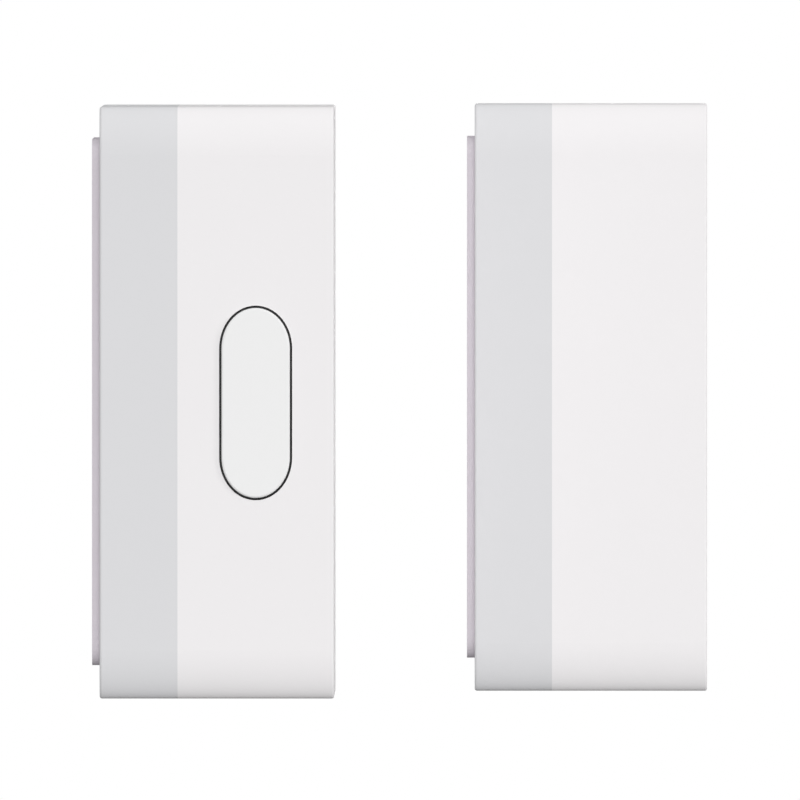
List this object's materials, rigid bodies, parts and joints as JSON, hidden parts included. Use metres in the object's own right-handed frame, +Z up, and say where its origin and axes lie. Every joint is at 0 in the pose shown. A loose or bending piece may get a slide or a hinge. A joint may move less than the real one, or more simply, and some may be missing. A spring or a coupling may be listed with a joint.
{
  "type": "door contact sensor",
  "caption": "Battery door contact sensor with an oblong test button in its side, and its slim magnet unit; grey bases, white covers and foam tape.",
  "frame": {"origin": "centre of the back face of the sensor unit's foam tape, on the wall plane", "axes": "+Z up, both units face -Y with their tape on the +Y side, and the magnet unit is on the +X side of the sensor unit"},
  "size_m": [0.0438, 0.0625, 0.06],
  "materials": {
    "white_plastic": "fine matt moulding texture",
    "button_white": "smooth satin moulding",
    "grey_plastic": "fine matt moulding texture",
    "foam_tape": "closed-cell foam with cut edges",
    "black_plastic": "matt",
    "clear_natural_plastic": "natural unpainted moulding",
    "switch_black": "fine moulded, slightly satin",
    "board_green": "solder mask over glass-fibre board",
    "steel": "bright plated spring steel",
    "gold_pins": "gold flash",
    "chip_black": "moulded epoxy",
    "small_parts": "fired ceramic with tinned ends",
    "antenna_ceramic": "fired ceramic",
    "lamp": "clear lens over yellow phosphor",
    "reed_glass": "clear greenish glass",
    "cell_sleeve": "shrunk film, plain",
    "magnet_nickel": "nickel plating"
  },
  "bodies": {
    "sensor_unit": {"sensor_tape": "foam_tape", "sensor_base": "grey_plastic", "switch_body": "switch_black", "switch_plate": "steel", "switch_dome": "steel", "switch_terminals": "steel", "button_board": "board_green", "header_block": "switch_black", "header_pins": "gold_pins", "main_board": "board_green", "board_screws": "steel", "radio_module": "board_green", "radio_shield": "steel", "chip_antenna": "antenna_ceramic", "controller_chip": "chip_black", "board_parts": "small_parts", "status_led": "lamp", "reed_glass": "reed_glass", "reed_blades": "steel", "battery_cradle": "black_plastic", "positive_contact": "steel", "negative_contact": "steel", "negative_spring": "steel", "battery_can": "steel", "battery_sleeve": "cell_sleeve"},
    "sensor_cover_unit": {"sensor_cover": "white_plastic", "button_retainer": "clear_natural_plastic", "retainer_screws": "steel"},
    "test_button": {"button_cap": "button_white", "button_carrier": "black_plastic"},
    "plunger": {"switch_plunger": "switch_black"},
    "magnet_unit": {"magnet_tape": "foam_tape", "magnet_base": "grey_plastic", "magnet_carrier": "clear_natural_plastic", "carrier_screw": "steel", "bar_magnet": "magnet_nickel"},
    "magnet_cover_unit": {"magnet_cover": "white_plastic"}
  },
  "joints": [
    {"name": "door_travel", "type": "slide", "parent": "sensor_unit", "child": "magnet_unit", "axis": [0, -1, 0], "range_m": [-0.03795, 0.022]},
    {"name": "sensor_cover_release", "type": "slide", "parent": "sensor_unit", "child": "sensor_cover_unit", "axis": [0, -1, 0], "range_m": [0, 0.03]},
    {"name": "magnet_cover_release", "type": "slide", "parent": "magnet_unit", "child": "magnet_cover_unit", "axis": [0, -1, 0], "range_m": [0, 0.03]},
    {"name": "test_press", "type": "slide", "parent": "sensor_cover_unit", "child": "test_button", "axis": [1, 0, 0], "range_m": [0, 0.0004], "stiffness_N_per_m": 4000},
    {"name": "plunger_press", "type": "slide", "parent": "sensor_unit", "child": "plunger", "axis": [1, 0, 0], "range_m": [0, 0.0004]}
  ],
  "couplings": [
    {"joint": "plunger_press", "follows": "test_press", "ratio": 1}
  ]
}
